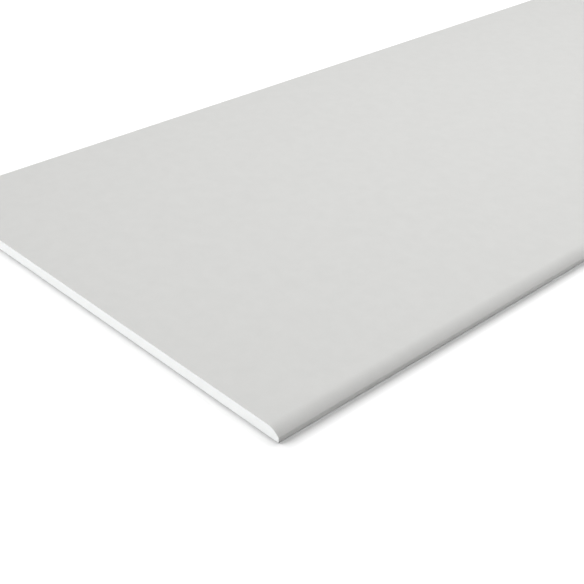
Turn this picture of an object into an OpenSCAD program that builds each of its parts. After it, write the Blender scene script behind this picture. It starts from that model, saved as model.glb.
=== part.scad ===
// A sheet of drywall with half-round long edges, lying flat with its face up.
// X runs across the width, Y along the length and Z up through the thickness.
// The origin is in the middle of the back, which lies on the floor.

/* [Sheet] */
// Length, from one cut end to the other
sheet_length = 2000; // [500:50:3000]
// Width, over the paper of both long edges
sheet_width = 625; // [300:5:1250]
// Thickness, with both papers
sheet_thickness = 12.5; // [9.5:0.5:25]

/* [Long edges] */
// Distance in from the edge at which the face starts to round off
rounding_run = 14.5; // [12:0.5:30]
// How far the face has dropped where the rounding meets the upright edge
rounding_drop = 7.1; // [3:0.1:7.5]
// Radius inside the fold at the foot of the upright edge
fold_inner_radius = 0.15; // [0.05:0.05:1]

/* [Papers] */
// Thickness of the face paper
face_paper_thickness = 0.35; // [0.2:0.05:0.6]
// Thickness of the back paper
back_paper_thickness = 0.35; // [0.2:0.05:0.6]
// Width of the face paper's flap that is folded under each long edge
flap_width = 22; // [16:1:40]
// Width of the strip, from the edge to the back paper, where the flap shows
bare_flap = 10; // [5:0.5:14]
// How far the back paper stands proud of that strip
lap_step = 0.1; // [0.05:0.05:0.15]

/* [Hidden] */

// Flats that follow each rounding, and each fold
ROUNDING_STEPS = 24;
FOLD_STEPS = 8;

half_width = sheet_width / 2;
// The rounding is an arc that leaves the face without a kink and drops to the upright edge
rounding_radius = (rounding_run ^ 2 + rounding_drop ^ 2) / (2 * rounding_drop);
rounding_centre = [half_width - rounding_run, sheet_thickness - rounding_radius];
fold_radius = fold_inner_radius + face_paper_thickness;
fold_centre = [half_width - fold_radius, lap_step + fold_radius];
// The flap is pressed down beside the back paper as far as the lap, and lies over it from there
lap_start = half_width - bare_flap;
flap_end = half_width - flap_width;

// Points along an arc, from one angle to another
function arc(centre, radius, from, to, steps) =
    [for (i = [0:steps])
        let (angle = from + (to - from) * i / steps)
        centre + radius * [cos(angle), sin(angle)]];

// The right-hand edge from the face down and under to the flap's end, for a surface
// that lies inset inside the outer one. Both sides of the face paper and the core use it.
function edge_outline(inset) =
    let (
        radius = rounding_radius - inset,
        crease_angle = acos((rounding_run - inset) / radius)
    )
    concat(
        arc(rounding_centre, radius, 90, crease_angle, ROUNDING_STEPS),
        arc(fold_centre, fold_radius - inset, 0, -90, FOLD_STEPS),
        [
            [lap_start + inset, lap_step + inset],
            [lap_start + inset, back_paper_thickness + inset],
            [flap_end, back_paper_thickness + inset]
        ]
    );

function left_of(points) = [for (p = points) [-p.x, p.y]];
function reversed(points) = [for (i = [len(points) - 1:-1:0]) points[i]];

// Closes an outline that is the same on the left as on the right
function both_sides(right) = concat(right, reversed(left_of(right)));

// Draws a section across the width, along the whole length
module along_the_sheet(section) {
    rotate([90, 0, 0])
        linear_extrude(height = sheet_length, center = true)
            polygon(section);
}

// Foamed gypsum cast between the papers, bare at both cut ends. Its underside
// is let in over the flaps, so that the back stays flat.
module gypsum_core() {
    color([0.96, 0.96, 0.97])
        along_the_sheet(both_sides(concat(
            edge_outline(face_paper_thickness),
            [[flap_end, back_paper_thickness]]
        )));
}

// One web of paper over the face, round both long edges and under as two flaps
module face_paper() {
    outside = edge_outline(0);
    inside = edge_outline(face_paper_thickness);
    color([0.85, 0.85, 0.84])
        along_the_sheet(concat(
            outside,
            reversed(inside),
            left_of(inside),
            reversed(left_of(outside))
        ));
}

// Flat web of paper over the back, lapped over both flaps
module back_paper() {
    color([0.74, 0.72, 0.68])
        along_the_sheet(both_sides([[lap_start, back_paper_thickness], [lap_start, 0]]));
}

gypsum_core();
face_paper();
back_paper();
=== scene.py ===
"""A sheet of drywall with half-round long edges, and the plain stage that it lies on."""

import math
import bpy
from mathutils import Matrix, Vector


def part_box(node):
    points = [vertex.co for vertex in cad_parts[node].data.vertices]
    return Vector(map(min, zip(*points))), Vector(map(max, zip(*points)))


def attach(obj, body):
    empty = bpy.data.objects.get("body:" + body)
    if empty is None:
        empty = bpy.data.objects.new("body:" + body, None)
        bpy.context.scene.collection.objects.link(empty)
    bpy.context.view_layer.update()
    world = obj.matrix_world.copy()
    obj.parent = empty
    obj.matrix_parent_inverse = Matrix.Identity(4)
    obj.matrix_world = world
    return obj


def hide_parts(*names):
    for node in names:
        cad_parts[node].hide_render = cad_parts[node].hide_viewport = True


bl_info = {
    "name": "Drywall Sheet",
    "version": (1, 0, 0),
    "blender": (4, 5, 0),
    "location": "3D View > Sidebar > Drywall",
    "description": "Builds a sheet of drywall around its packed frame: core, papers and stage",
    "category": "Object",
}

import bmesh
import bpy
from bpy.props import FloatProperty, FloatVectorProperty, IntProperty, PointerProperty
from mathutils import Euler, Vector, noise

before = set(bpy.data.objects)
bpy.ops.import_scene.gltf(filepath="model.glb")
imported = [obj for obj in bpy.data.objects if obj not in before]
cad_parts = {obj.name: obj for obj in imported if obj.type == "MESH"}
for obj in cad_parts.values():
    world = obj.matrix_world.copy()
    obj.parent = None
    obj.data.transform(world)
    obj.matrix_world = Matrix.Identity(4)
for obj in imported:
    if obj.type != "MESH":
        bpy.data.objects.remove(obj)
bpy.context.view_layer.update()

MM = 0.001
WHITE = (1, 1, 1, 1)

# Sizes that the frame gives, in metres
CORE_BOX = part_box("gypsum_core")
FACE_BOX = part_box("face_paper")
BACK_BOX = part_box("back_paper")
HALF_WIDTH = FACE_BOX[1].x
HALF_LENGTH = FACE_BOX[1].y
FACE_TOP = FACE_BOX[1].z
FACE_PAPER = FACE_TOP - CORE_BOX[1].z
BACK_PAPER = BACK_BOX[1].z
LAP_START = BACK_BOX[1].x
LAP_STEP = FACE_BOX[0].z

# Flats that follow each fold
FOLD_STEPS = 8
# How far the rows beside a bend lie from it
ROW_GAP = 0.4 * MM
# Bevel along both edges of the back paper
LAP_BEVEL = 0.08 * MM
# Bends up to this are shaded smooth
SMOOTH_ANGLE = math.radians(35)

# Relief of the cut ends, in millimetres: its lumps, the upright streaks that the cut
# leaves, and its pores, whose radius is a share of their spacing
LUMP_SIZE = 1.3
STREAK_WIDTH = 1.1
STREAK_HEIGHT = 9
PORE_SPACING = 2.1
PORE_RADIUS = 0.28
# Keeps the streaks of one end unlike those of the other
STREAK_SLICE = 7
# The share of the relief's depth that each of them takes
LUMP_SHARE = 0.22
STREAK_SHARE = 0.18
PORE_SHARE = 0.6

# Ends of a texture's usual range, where the darkest and the lightest shade lie
USUAL_TONES = (0.3, 0.7)
# Scale of the paper's fibres along the web, against that across it, and their share
# of the paper's tone
FIBRE_STRETCH = 0.22
FIBRE_SHARE = 0.45
# How far from its middle a pit begins and is at its full depth, as shares of the pit
# spacing, and how much painted shade darkens the tone inside each pit
PIT_RIM = 0.22
PIT_FLOOR = 0.1
PIT_PAINTED_SHADE = -0.35
# What a fleck does to the back paper's tone
FLECK_TONE = -0.3
# The back paper steps up onto the flap from this far before its end to this far past
# it, by this many times the paper's own relief
STEP_BEFORE = 1.2 * MM
STEP_PAST = 0.4 * MM
STEP_HEIGHT = 2.0
# How far in from the face and the back the gypsum starts to be denser and is densest,
# and its tone there
DENSE_START = 1.6 * MM
DENSE_FULL = 0.5 * MM
DENSE_TONE = 0.7

# What the lights point at, and for each its tilt from overhead and its heading
# anticlockwise from +X, in degrees, its distance and its diameter
LIT_PLACE = Vector((0.05, -0.7, 0))
LIGHTS = {
    "left": (62, 245, 9.0, 6.5),
    "top": (0, 0, 2.4, 1.6),
    "rear": (45, 90, 2.4, 1.6),
}
# Half the width of the square floor
FLOOR_HALF_WIDTH = 50
# The floor is shaded by what lies this way from it, within this reach
SHADE_FROM = (-math.sin(math.radians(60)), 0, math.cos(math.radians(60)))
SHADE_REACH = 16 * MM
SHADE_SAMPLES = 64
# How much of its colour the floor keeps, by how open it is to that side: all of it out in
# the open, and again right under the fold, where the sheet itself keeps the light off
SHADE_STOPS = (
    (0.3, 1),
    (0.42, 0.46),
    (0.53, 0.45),
    (0.6, 0.55),
    (0.66, 0.63),
    (0.74, 0.77),
    (0.82, 0.87),
    (0.95, 1),
)
# How far out from the sheet the floor starts to turn into the room's white, and has done so
FLOOR_FADE = (0.05, 0.7)


# ---------------------------------------------------------------- settings


class DrywallSizes(bpy.types.PropertyGroup):
    """Shape of the long edges and relief of the cut ends."""

    rounding_run: FloatProperty(
        name="Rounding Run",
        description="Distance in from the edge at which the face starts to round off",
        default=14.5 * MM,
        min=12 * MM,
        max=30 * MM,
        subtype="DISTANCE",
    )
    rounding_drop: FloatProperty(
        name="Rounding Drop",
        description="How far the face has dropped where it meets the upright edge",
        default=7.1 * MM,
        min=3 * MM,
        max=7.5 * MM,
        subtype="DISTANCE",
    )
    rounding_steps: IntProperty(
        name="Rounding Steps",
        description="Flats that follow each rounding",
        default=36,
        min=8,
        max=96,
    )
    crease_radius: FloatProperty(
        name="Crease Radius",
        description="Radius of the crease between the rounding and the upright edge",
        default=0.12 * MM,
        min=0.1 * MM,
        max=1 * MM,
        subtype="DISTANCE",
    )
    fold_inner_radius: FloatProperty(
        name="Fold Inner Radius",
        description="Radius inside the fold at the foot of the upright edge",
        default=0.15 * MM,
        min=0.05 * MM,
        max=1 * MM,
        subtype="DISTANCE",
    )
    flap_width: FloatProperty(
        name="Flap Width",
        description="Width of the flap of face paper that is folded under each long edge",
        default=22 * MM,
        min=16 * MM,
        max=40 * MM,
        subtype="DISTANCE",
    )
    relief_pitch: FloatProperty(
        name="Relief Pitch",
        description="Size of the squares that the cut ends are divided into",
        default=0.6 * MM,
        min=0.5 * MM,
        max=3 * MM,
        subtype="DISTANCE",
    )
    relief_depth: FloatProperty(
        name="Relief Depth",
        description="Depth of the deepest pores in the cut ends",
        default=0.25 * MM,
        min=0,
        max=0.5 * MM,
        subtype="DISTANCE",
    )


class DrywallColours(bpy.types.PropertyGroup):
    """Colours of the papers and the gypsum."""

    face_paper: FloatVectorProperty(
        name="Face Paper",
        description="Colour of the paper on the face and round the long edges",
        default=(0.57, 0.57, 0.559),
        min=0,
        max=1,
        size=3,
        subtype="COLOR",
    )
    back_paper: FloatVectorProperty(
        name="Back Paper",
        description="Colour of the paper on the back",
        default=(0.47, 0.44, 0.385),
        min=0,
        max=1,
        size=3,
        subtype="COLOR",
    )
    cut_paper: FloatVectorProperty(
        name="Cut Paper",
        description="Colour of the papers where they are cut through",
        default=(0.92, 0.93, 0.92),
        min=0,
        max=1,
        size=3,
        subtype="COLOR",
    )
    gypsum: FloatVectorProperty(
        name="Gypsum",
        description="Colour of the core where it is cut",
        default=(0.91, 0.92, 0.92),
        min=0,
        max=1,
        size=3,
        subtype="COLOR",
    )


class DrywallStage(bpy.types.PropertyGroup):
    """Floor, light and camera."""

    floor: FloatVectorProperty(
        name="Floor",
        description="Colour of the floor",
        default=(0.94, 0.94, 0.94),
        min=0,
        max=1,
        size=3,
        subtype="COLOR",
    )
    left_power: FloatProperty(
        name="Left Light",
        description="Power of the large far light on the left, in watts",
        default=430,
        min=0,
        max=5000,
    )
    top_power: FloatProperty(
        name="Top Light",
        description="Power of the light straight over the near end, in watts",
        default=39.6,
        min=0,
        max=500,
    )
    rear_power: FloatProperty(
        name="Rear Light",
        description="Power of the light over the far end, in watts",
        default=22,
        min=0,
        max=500,
    )
    room_strength: FloatProperty(
        name="Room Light",
        description="Strength of the light from all round",
        default=0.12,
        min=0,
        max=5,
    )
    camera_heading: FloatProperty(
        name="Camera Heading",
        description="Angle between the camera's heading and the length of the sheet",
        default=math.radians(46.98),
        subtype="ANGLE",
    )
    camera_pitch: FloatProperty(
        name="Camera Pitch",
        description="How far the camera looks down",
        default=math.radians(31.52),
        subtype="ANGLE",
    )
    camera_height: FloatProperty(
        name="Camera Height",
        description="Height of the camera over the floor",
        default=593.35 * MM,
        subtype="DISTANCE",
    )
    camera_distance: FloatProperty(
        name="Camera Distance",
        description="Level distance from the camera to the near corner, along its heading",
        default=718.8 * MM,
        subtype="DISTANCE",
    )
    camera_offset: FloatProperty(
        name="Camera Offset",
        description="How far the near corner lies to the right of the camera's heading",
        default=-11.46 * MM,
        subtype="DISTANCE",
    )
    lens: FloatProperty(
        name="Lens",
        description="Focal length on a sensor 36 mm wide, in millimetres",
        default=66.14,
        min=1,
        max=500,
    )


# ------------------------------------------------------------ section lines


def line_to(bm, vertex, x, z):
    """Draws a straight stretch of a section, and returns the vertex at its end."""
    end = bmesh.ops.extrude_vert_indiv(bm, verts=[vertex])["verts"][0]
    bmesh.ops.translate(bm, verts=[end], vec=Vector((x, vertex.co.y, z)) - vertex.co)
    return end


def arc_to(bm, vertex, centre, angle, steps):
    """Turns a vertex round a centre in the section, and returns the vertex at its end."""
    made = bmesh.ops.spin(
        bm,
        geom=[vertex],
        cent=(centre.x, vertex.co.y, centre.y),
        axis=(0, 1, 0),
        angle=angle,
        steps=steps,
        use_duplicate=False,
    )
    return next(item for item in made["geom_last"] if isinstance(item, bmesh.types.BMVert))


def edge_line(bm, sizes, inset):
    """Draws half a section, from the middle of the face over the rounding, down the
    upright edge and under to the flap's end, and returns its last vertex. Inset is how
    far it lies inside the outer surface."""
    run, drop = sizes.rounding_run, sizes.rounding_drop
    radius = (run**2 + drop**2) / (2 * drop)
    rounding_centre = Vector((HALF_WIDTH - run, FACE_TOP - radius))
    rounding_angle = math.asin((run - inset) / (radius - inset))
    fold_radius = sizes.fold_inner_radius + FACE_PAPER
    fold_centre = Vector((HALF_WIDTH - fold_radius, LAP_STEP + fold_radius))
    top = FACE_TOP - inset

    vertex = bm.verts.new((0, -HALF_LENGTH, top))
    # Rows a little way in keep the smooth shading of the bends off the flats between them
    vertex = line_to(bm, vertex, rounding_centre.x - ROW_GAP, top)
    vertex = line_to(bm, vertex, rounding_centre.x, top)
    vertex = arc_to(bm, vertex, rounding_centre, rounding_angle, sizes.rounding_steps)
    vertex = line_to(bm, vertex, HALF_WIDTH - inset, vertex.co.z - ROW_GAP)
    vertex = line_to(bm, vertex, HALF_WIDTH - inset, fold_centre.y + ROW_GAP)
    vertex = line_to(bm, vertex, HALF_WIDTH - inset, fold_centre.y)
    vertex = arc_to(bm, vertex, fold_centre, math.radians(90), FOLD_STEPS)
    vertex = line_to(bm, vertex, vertex.co.x - ROW_GAP, LAP_STEP + inset)
    vertex = line_to(bm, vertex, LAP_START + inset, LAP_STEP + inset)
    vertex = line_to(bm, vertex, LAP_START + inset, BACK_PAPER + inset)
    return line_to(bm, vertex, HALF_WIDTH - sizes.flap_width, BACK_PAPER + inset)


def mirror_and_extrude(bm):
    """Makes a half section whole, and draws it out along the sheet to a closed solid."""
    bmesh.ops.mirror(bm, geom=bm.verts[:] + bm.edges[:] + bm.faces[:], axis="X", merge_dist=1e-6)
    made = bmesh.ops.extrude_face_region(bm, geom=bm.faces[:])
    moved = [item for item in made["geom"] if isinstance(item, bmesh.types.BMVert)]
    bmesh.ops.translate(bm, verts=moved, vec=(0, 2 * HALF_LENGTH, 0))
    bmesh.ops.recalc_face_normals(bm, faces=bm.faces)


def set_off_the_ends(bm):
    """Gives the faces that look along the sheet, the cut ends, the second material."""
    for face in bm.faces:
        face.material_index = round(abs(face.normal.y))


def round_off(bm, edges, radius, segments):
    """Rounds off some edges of a solid."""
    bmesh.ops.bevel(
        bm,
        geom=edges,
        offset=radius,
        affect="EDGES",
        segments=segments,
        profile=0.5,
        material=-1,
    )


def long_edges_at(bm, x, z):
    """The two edges, left and right, that run along the sheet through a point of the section."""
    near = 0.01 * MM
    return [
        edge
        for edge in bm.edges
        if all(abs(abs(v.co.x) - x) < near and abs(v.co.z - z) < near for v in edge.verts)
    ]


def finish_piece(bm, name, node, materials):
    """Turns a bmesh into a finished piece that stands for a node of the frame."""
    mesh = bpy.data.meshes.new(name)
    bm.to_mesh(mesh)
    bm.free()
    for material in materials:
        mesh.materials.append(material)
    mesh.shade_smooth()
    mesh.set_sharp_from_angle(angle=SMOOTH_ANGLE)
    piece = bpy.data.objects.new(name, mesh)
    bpy.context.scene.collection.objects.link(piece)
    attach(piece, "root")
    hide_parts(node)


# ---------------------------------------------------------------- materials


def add(tree, kind, inputs=None, **settings):
    """Adds a node, sets it up, and feeds its inputs from values or other nodes' outputs."""
    node = tree.nodes.new(kind)
    for name, value in settings.items():
        setattr(node, name, value)
    for name, value in (inputs or {}).items():
        if isinstance(value, bpy.types.NodeSocket):
            tree.links.new(value, node.inputs[name])
        else:
            node.inputs[name].default_value = value
    return node


def math_node(tree, operation, *values, **settings):
    """Works a value out from others."""
    node = add(tree, "ShaderNodeMath", dict(enumerate(values)), operation=operation, **settings)
    return node.outputs[0]


def vector_node(tree, operation, *values):
    """Works a vector out from others."""
    inputs = dict(enumerate(values))
    return add(tree, "ShaderNodeVectorMath", inputs, operation=operation).outputs["Vector"]


def noise_node(tree, position, scale, detail, roughness):
    """Smooth noise, in cycles to the metre, whose finer layers detail and roughness set."""
    node = add(
        tree,
        "ShaderNodeTexNoise",
        {"Vector": position, "Scale": scale, "Detail": detail, "Roughness": roughness},
    )
    return node.outputs[0]


def fade(tree, value, start, end):
    """Fades smoothly from 0 at one value to 1 at another."""
    node = add(
        tree,
        "ShaderNodeMapRange",
        {"Value": value, "From Min": start, "From Max": end},
        interpolation_type="SMOOTHSTEP",
    )
    return node.outputs[0]


def mix_values(tree, factor, a, b):
    """Goes from one value to another as the factor goes from 0 to 1."""
    node = add(tree, "ShaderNodeMix", {"Factor": factor, "A": a, "B": b}, data_type="FLOAT")
    return node.outputs[0]


def ramp(tree, factor, stops):
    """Turns a factor into a colour by stops, each a place and its colour."""
    node = add(tree, "ShaderNodeValToRGB", {"Fac": factor})
    elements = node.color_ramp.elements
    while len(elements) < len(stops):
        elements.new(0.5)
    for element, (at, colour) in zip(elements, stops):
        element.position = at
        element.color = (*colour, 1)
    return node.outputs["Color"]


def new_group(name, inputs, outputs):
    """An empty node group and what it is given. Its sockets are values, apart from its
    Position, which is a vector."""
    tree = bpy.data.node_groups.new(name, "ShaderNodeTree")
    for socket in inputs:
        kind = "NodeSocketVector" if socket == "Position" else "NodeSocketFloat"
        tree.interface.new_socket(socket, in_out="INPUT", socket_type=kind)
    for socket in outputs:
        tree.interface.new_socket(socket, in_out="OUTPUT", socket_type="NodeSocketFloat")
    return tree, add(tree, "NodeGroupInput").outputs


def pulp_group():
    """Paper pulp that has settled into clouds, with its fibres drawn out along the web."""
    name = "Paper Pulp"
    if name in bpy.data.node_groups:
        return bpy.data.node_groups[name]
    tree, given = new_group(name, ("Position", "Cloud Scale", "Fibre Scale"), ("Tone", "Height"))
    position = given["Position"]
    clouds = noise_node(tree, position, given["Cloud Scale"], detail=5.0, roughness=0.6)
    stretch = (1, FIBRE_STRETCH, 1)
    along = add(tree, "ShaderNodeMapping", {"Vector": position, "Scale": stretch}).outputs[0]
    fibres = noise_node(tree, along, given["Fibre Scale"], detail=3.0, roughness=0.65)
    tone = mix_values(tree, FIBRE_SHARE, clouds, fibres)
    add(tree, "NodeGroupOutput", {"Tone": tone, "Height": fibres})
    return tree


def grain_group():
    """Grain of a cut or broken edge, with scattered hollows sunk into it and painted darker as
    painted shade.
    """
    name = "Cut Grain"
    if name in bpy.data.node_groups:
        return bpy.data.node_groups[name]
    tree, given = new_group(name, ("Position", "Grain Scale", "Pit Scale"), ("Tone", "Height"))
    position = given["Position"]
    grains = noise_node(tree, position, given["Grain Scale"], detail=4.0, roughness=0.65)
    cells = add(
        tree,
        "ShaderNodeTexVoronoi",
        {"Vector": position, "Scale": given["Pit Scale"], "Randomness": 1.0},
    )
    pit_relief_and_shade = fade(tree, cells.outputs["Distance"], start=PIT_RIM, end=PIT_FLOOR)
    # Each pit is painted darker in tone, as painted shade in the hollow, over the grain's random
    # tone
    tone = math_node(tree, "MULTIPLY_ADD", pit_relief_and_shade, PIT_PAINTED_SHADE, grains, use_clamp=True)
    height = math_node(tree, "SUBTRACT", grains, pit_relief_and_shade)
    add(tree, "NodeGroupOutput", {"Tone": tone, "Height": height})
    return tree


def new_material(name):
    """An empty material, with its tree and where on the piece it is being shaded."""
    material = bpy.data.materials.new(name)
    material.use_nodes = True
    tree = material.node_tree
    tree.nodes.clear()
    position = add(tree, "ShaderNodeTexCoord").outputs["Object"]
    return material, tree, position


def close_material(tree, inputs):
    """Gives a material its shader, and the shader its inputs."""
    shader = add(tree, "ShaderNodeBsdfPrincipled", inputs)
    add(tree, "ShaderNodeOutputMaterial", {"Surface": shader.outputs[0]})


def scaled(colour, share):
    """A colour made darker or lighter, up to white."""
    return tuple(min(1, channel * share) for channel in colour)


def shades(colour, spread):
    """A darker and a lighter shade about a colour, at the ends of a texture's usual range."""
    dark_at, light_at = USUAL_TONES
    return [(dark_at, scaled(colour, 1 - spread)), (light_at, scaled(colour, 1 + spread))]


def surface(tree, colour, height, relief, roughness, specular):
    """Closes a material with a colour, and a relief of a given height in metres."""
    bump = add(tree, "ShaderNodeBump", {"Height": height, "Distance": relief, "Strength": 1.0})
    close_material(
        tree,
        {
            "Base Color": colour,
            "Roughness": roughness,
            "Specular IOR Level": specular,
            "Normal": bump.outputs[0],
        },
    )


def pulp(tree, position, cloud_scale, fibre_scale):
    """Places the pulp group in a material, and returns its outputs."""
    inputs = {"Position": position, "Cloud Scale": cloud_scale, "Fibre Scale": fibre_scale}
    return add(tree, "ShaderNodeGroup", inputs, node_tree=pulp_group()).outputs


def grain(tree, position, grain_scale, pit_scale):
    """Places the grain group in a material, and returns its outputs."""
    inputs = {"Position": position, "Grain Scale": grain_scale, "Pit Scale": pit_scale}
    return add(tree, "ShaderNodeGroup", inputs, node_tree=grain_group()).outputs


def face_paper_material(colour):
    """Smooth sized paper, made to be painted."""
    material, tree, position = new_material("sized_face_paper")
    paper = pulp(tree, position, cloud_scale=60.0, fibre_scale=2200.0)
    shade = ramp(tree, paper["Tone"], shades(colour, spread=0.028))
    surface(tree, shade, paper["Height"], relief=0.02 * MM, roughness=0.85, specular=0.3)
    return material


def back_paper_material(colour, flap_end):
    """Rough recycled paper with dark flecks, and a step where it goes over the flap."""
    material, tree, position = new_material("rough_back_paper")
    paper = pulp(tree, position, cloud_scale=60.0, fibre_scale=1500.0)
    specks = noise_node(tree, position, scale=420.0, detail=2.0, roughness=0.5)
    flecks = fade(tree, specks, start=0.64, end=0.72)
    tone = math_node(tree, "MULTIPLY_ADD", flecks, FLECK_TONE, paper["Tone"])
    place = add(tree, "ShaderNodeSeparateXYZ", {"Vector": position}).outputs
    across = math_node(tree, "ABSOLUTE", place["X"])
    step = fade(tree, across, start=flap_end - STEP_BEFORE, end=flap_end + STEP_PAST)
    height = math_node(tree, "MULTIPLY_ADD", step, STEP_HEIGHT, paper["Height"])
    shade = ramp(tree, tone, shades(colour, spread=0.06))
    surface(tree, shade, height, relief=0.04 * MM, roughness=0.9, specular=0.25)
    return material


def cut_paper_material(name, colour):
    """The papers' own thickness where they are cut through, torn up into a pale nap."""
    material, tree, position = new_material(name)
    # The nap's pits are painted darker: painted shade in its hollows
    nap = grain(tree, position, grain_scale=2600.0, pit_scale=1900.0)
    shade = ramp(tree, nap["Tone"], shades(colour, spread=0.03))
    surface(tree, shade, nap["Height"], relief=0.05 * MM, roughness=0.95, specular=0.2)
    return material


def gypsum_material(colour):
    """Foamed gypsum: fine pores in the middle, denser and whiter near the papers."""
    material, tree, position = new_material("foamed_gypsum")
    # Its pores are painted darker in the middle, as painted shade; the denser gypsum near the
    # papers doesn't get it
    foam = grain(tree, position, grain_scale=900.0, pit_scale=700.0)
    height_up = add(tree, "ShaderNodeSeparateXYZ", {"Vector": position}).outputs["Z"]
    near_back = fade(tree, height_up, start=DENSE_START, end=DENSE_FULL)
    near_face = fade(tree, height_up, start=FACE_TOP - DENSE_START, end=FACE_TOP - DENSE_FULL)
    dense = math_node(tree, "MAXIMUM", near_back, near_face)
    tone = mix_values(tree, dense, foam["Tone"], DENSE_TONE)
    shade = ramp(tree, tone, shades(colour, spread=0.02))
    surface(tree, shade, foam["Height"], relief=0.1 * MM, roughness=0.9, specular=0.2)
    return material


def floor_shade(tree, colour):
    """The floor's colour, made darker where the sheet closes it in."""
    towards = add(tree, "ShaderNodeCombineXYZ", dict(enumerate(SHADE_FROM))).outputs[0]
    openness = add(
        tree,
        "ShaderNodeAmbientOcclusion",
        {"Distance": SHADE_REACH, "Normal": towards},
        samples=SHADE_SAMPLES,
    )
    stops = [(at, scaled(colour, share)) for at, share in SHADE_STOPS]
    return ramp(tree, openness.outputs["AO"], stops)


def outside_the_sheet(tree, position):
    """How far a place on the floor lies outside the sheet's outline."""
    place = vector_node(tree, "ABSOLUTE", position)
    past = vector_node(tree, "SUBTRACT", place, (HALF_WIDTH, HALF_LENGTH, 0))
    past = vector_node(tree, "MAXIMUM", past, (0, 0, 0))
    return add(tree, "ShaderNodeVectorMath", {0: past}, operation="LENGTH").outputs["Value"]


def floor_material(colour):
    """Matt white floor that is seen darker where the sheet closes it in, and turns into
    the white of the room. Neither changes the light that it throws onto the sheet."""
    material, tree, position = new_material("stage_floor")
    seen = add(tree, "ShaderNodeLightPath").outputs["Is Camera Ray"]
    shade = floor_shade(tree, colour)
    mixed = add(
        tree,
        "ShaderNodeMix",
        {"Factor": seen, 6: (*colour, 1), 7: shade},
        data_type="RGBA",
    )
    far = fade(tree, outside_the_sheet(tree, position), *FLOOR_FADE)
    close_material(
        tree,
        {
            "Base Color": mixed.outputs[2],
            "Roughness": 1.0,
            "Specular IOR Level": 0.0,
            "Emission Color": WHITE,
            "Emission Strength": math_node(tree, "MULTIPLY", far, seen),
        },
    )
    return material


def background(tree, strength):
    """White light from all round."""
    return add(tree, "ShaderNodeBackground", {"Color": WHITE, "Strength": strength}).outputs[0]


def room(strength):
    """A world that is white to look at, and gives light of a given strength."""
    world = bpy.data.worlds.new("room")
    world.use_nodes = True
    tree = world.node_tree
    tree.nodes.clear()
    lights = background(tree, strength)
    looks = background(tree, 1.0)
    seen = add(tree, "ShaderNodeLightPath").outputs["Is Camera Ray"]
    mixed = add(tree, "ShaderNodeMixShader", {0: seen, 1: lights, 2: looks})
    add(tree, "ShaderNodeOutputWorld", {"Surface": mixed.outputs[0]})
    return world


# ------------------------------------------------------------------- pieces


class DRYWALL_OT_gypsum_core(bpy.types.Operator):
    """Build the gypsum core, with the relief of its cut ends"""

    bl_idname = "drywall.gypsum_core"
    bl_label = "Gypsum Core"

    def execute(self, context):
        sizes = context.scene.drywall_sizes
        bm = bmesh.new()
        end = edge_line(bm, sizes, FACE_PAPER)
        end = line_to(bm, end, end.co.x, BACK_PAPER)
        end = line_to(bm, end, 0, BACK_PAPER)
        bm.verts.ensure_lookup_table()
        bm.edges.new((end, bm.verts[0]))
        bmesh.ops.contextual_create(bm, geom=bm.edges[:])
        self.divide(bm, sizes.relief_pitch)
        mirror_and_extrude(bm)
        self.roughen(bm, sizes.relief_depth)
        finish_piece(
            bm,
            "core",
            "gypsum_core",
            [gypsum_material(context.scene.drywall_colours.gypsum)],
        )
        return {"FINISHED"}

    def divide(self, bm, pitch):
        """Cuts the half section into squares of about the pitch."""
        for axis, length in ((0, HALF_WIDTH), (2, FACE_TOP)):
            count = round(length / pitch)
            normal = Vector((0, 0, 0))
            normal[axis] = 1
            for i in range(1, count):
                bmesh.ops.bisect_plane(
                    bm,
                    geom=bm.verts[:] + bm.edges[:] + bm.faces[:],
                    dist=1e-7,
                    plane_co=normal * (i * length / count),
                    plane_no=normal,
                )

    def roughen(self, bm, depth):
        """Sinks the cut ends by lumps, upright streaks and scattered pores."""
        for vertex in bm.verts:
            x, y, z = vertex.co
            end = math.copysign(1, y)
            place = Vector((x, end, z)) / MM
            lump = self.unit_noise(place / LUMP_SIZE)
            drawn_out = (place.x / STREAK_WIDTH, end * STREAK_SLICE, place.z / STREAK_HEIGHT)
            streak = self.unit_noise(Vector(drawn_out))
            to_pore = noise.voronoi(place / PORE_SPACING)[0][0]
            pore = max(0, 1 - to_pore / PORE_RADIUS)
            sink = depth * (LUMP_SHARE * lump + STREAK_SHARE * streak + PORE_SHARE * pore)
            vertex.co.y -= end * sink

    def unit_noise(self, place):
        """Smooth noise from 0 to 1."""
        return 0.5 + 0.5 * noise.noise(place)


class DRYWALL_OT_face_paper(bpy.types.Operator):
    """Build the paper over the face, round the long edges and under as flaps"""

    bl_idname = "drywall.face_paper"
    bl_label = "Face Paper"

    def execute(self, context):
        sizes = context.scene.drywall_sizes
        bm = bmesh.new()
        edge_line(bm, sizes, 0)
        edge_line(bm, sizes, FACE_PAPER)
        bmesh.ops.bridge_loops(bm, edges=bm.edges[:])
        mirror_and_extrude(bm)
        creases = long_edges_at(bm, HALF_WIDTH, FACE_TOP - sizes.rounding_drop)
        round_off(bm, creases, sizes.crease_radius, segments=4)
        set_off_the_ends(bm)
        colours = context.scene.drywall_colours
        finish_piece(
            bm,
            "face_liner",
            "face_paper",
            [
                face_paper_material(colours.face_paper),
                cut_paper_material("face_paper_cut", colours.cut_paper),
            ],
        )
        return {"FINISHED"}


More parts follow.
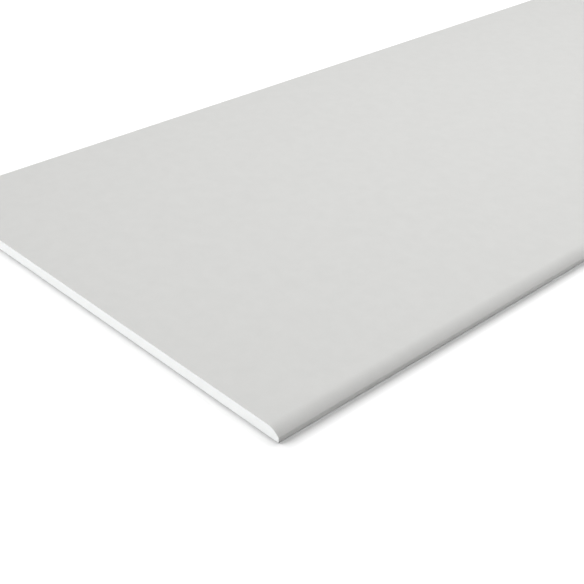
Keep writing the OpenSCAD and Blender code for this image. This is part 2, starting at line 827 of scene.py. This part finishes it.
class DRYWALL_OT_back_paper(bpy.types.Operator):
    """Build the paper over the back, lapped over both flaps"""

    bl_idname = "drywall.back_paper"
    bl_label = "Back Paper"

    def execute(self, context):
        sizes = context.scene.drywall_sizes
        bm = bmesh.new()
        first = bm.verts.new((0, -HALF_LENGTH, BACK_PAPER))
        vertex = line_to(bm, first, LAP_START, BACK_PAPER)
        vertex = line_to(bm, vertex, LAP_START, 0)
        vertex = line_to(bm, vertex, 0, 0)
        bm.edges.new((vertex, first))
        bmesh.ops.contextual_create(bm, geom=bm.edges[:])
        mirror_and_extrude(bm)
        round_off(bm, long_edges_at(bm, LAP_START, 0), LAP_BEVEL, segments=2)
        set_off_the_ends(bm)
        colours = context.scene.drywall_colours
        finish_piece(
            bm,
            "back_liner",
            "back_paper",
            [
                back_paper_material(colours.back_paper, HALF_WIDTH - sizes.flap_width),
                cut_paper_material("back_paper_cut", colours.cut_paper),
            ],
        )
        return {"FINISHED"}


# -------------------------------------------------------------------- stage


class DRYWALL_OT_stage(bpy.types.Operator):
    """Build the floor, the light and the camera"""

    bl_idname = "drywall.stage"
    bl_label = "Stage"

    def execute(self, context):
        stage = context.scene.drywall_stage
        self.floor(context, stage)
        self.light(context, stage)
        self.camera(context, stage)
        context.scene.view_settings.view_transform = "Standard"
        return {"FINISHED"}

    def floor(self, context, stage):
        """Lays a floor that reaches far past the sheet on every side."""
        bm = bmesh.new()
        bmesh.ops.create_grid(bm, x_segments=1, y_segments=1, size=FLOOR_HALF_WIDTH)
        mesh = bpy.data.meshes.new("floor")
        bm.to_mesh(mesh)
        bm.free()
        mesh.materials.append(floor_material(stage.floor))
        floor = bpy.data.objects.new("floor", mesh)
        context.scene.collection.objects.link(floor)

    def light(self, context, stage):
        """Hangs the lights, in a white room that gives its own light only faintly."""
        context.scene.world = room(stage.room_strength)
        for name, (tilt, heading, distance, diameter) in LIGHTS.items():
            lamp = bpy.data.lights.new(name, "AREA")
            lamp.shape = "DISK"
            lamp.size = diameter
            lamp.energy = getattr(stage, f"{name}_power")
            light = bpy.data.objects.new(name, lamp)
            turn = Euler((math.radians(tilt), 0, math.radians(heading + 90)))
            light.rotation_euler = turn
            light.location = LIT_PLACE + turn.to_matrix() @ Vector((0, 0, distance))
            light.visible_camera = False
            context.scene.collection.objects.link(light)

    def camera(self, context, stage):
        """Stands the camera off the near corner of the sheet, level from side to side."""
        heading = Vector((-math.sin(stage.camera_heading), math.cos(stage.camera_heading)))
        right = Vector((heading.y, -heading.x))
        corner = Vector((HALF_WIDTH, -HALF_LENGTH))
        place = corner - stage.camera_offset * right - stage.camera_distance * heading
        data = bpy.data.cameras.new("camera")
        data.sensor_width = 36
        data.lens = stage.lens
        data.clip_start = 0.01
        data.clip_end = 200
        camera = bpy.data.objects.new("camera", data)
        camera.location = (place.x, place.y, stage.camera_height)
        camera.rotation_euler = (math.radians(90) - stage.camera_pitch, 0, stage.camera_heading)
        context.scene.collection.objects.link(camera)
        context.scene.camera = camera


# -------------------------------------------------------------------- panel


PIECE_OPERATORS = (DRYWALL_OT_gypsum_core, DRYWALL_OT_face_paper, DRYWALL_OT_back_paper)


class DRYWALL_PT_panel(bpy.types.Panel):
    """Builds the sheet, and sets its sizes and colours"""

    bl_idname = "DRYWALL_PT_panel"
    bl_label = "Drywall Sheet"
    bl_space_type = "VIEW_3D"
    bl_region_type = "UI"
    bl_category = "Drywall"

    def draw(self, context):
        layout = self.layout
        for settings in (
            context.scene.drywall_sizes,
            context.scene.drywall_colours,
            context.scene.drywall_stage,
        ):
            box = layout.box()
            for name in settings.__annotations__:
                box.prop(settings, name)
        for operator in (*PIECE_OPERATORS, DRYWALL_OT_stage):
            layout.operator(operator.bl_idname)


CLASSES = (
    DrywallSizes,
    DrywallColours,
    DrywallStage,
    *PIECE_OPERATORS,
    DRYWALL_OT_stage,
    DRYWALL_PT_panel,
)


def register():
    for cls in CLASSES:
        bpy.utils.register_class(cls)
    bpy.types.Scene.drywall_sizes = PointerProperty(type=DrywallSizes)
    bpy.types.Scene.drywall_colours = PointerProperty(type=DrywallColours)
    bpy.types.Scene.drywall_stage = PointerProperty(type=DrywallStage)


def unregister():
    del bpy.types.Scene.drywall_stage
    del bpy.types.Scene.drywall_colours
    del bpy.types.Scene.drywall_sizes
    for cls in reversed(CLASSES):
        bpy.utils.unregister_class(cls)


def main():
    """Builds the sheet and its stage."""
    register()
    bpy.ops.drywall.gypsum_core()
    bpy.ops.drywall.face_paper()
    bpy.ops.drywall.back_paper()
    bpy.ops.drywall.stage()


if __name__ == "__main__":
    main()
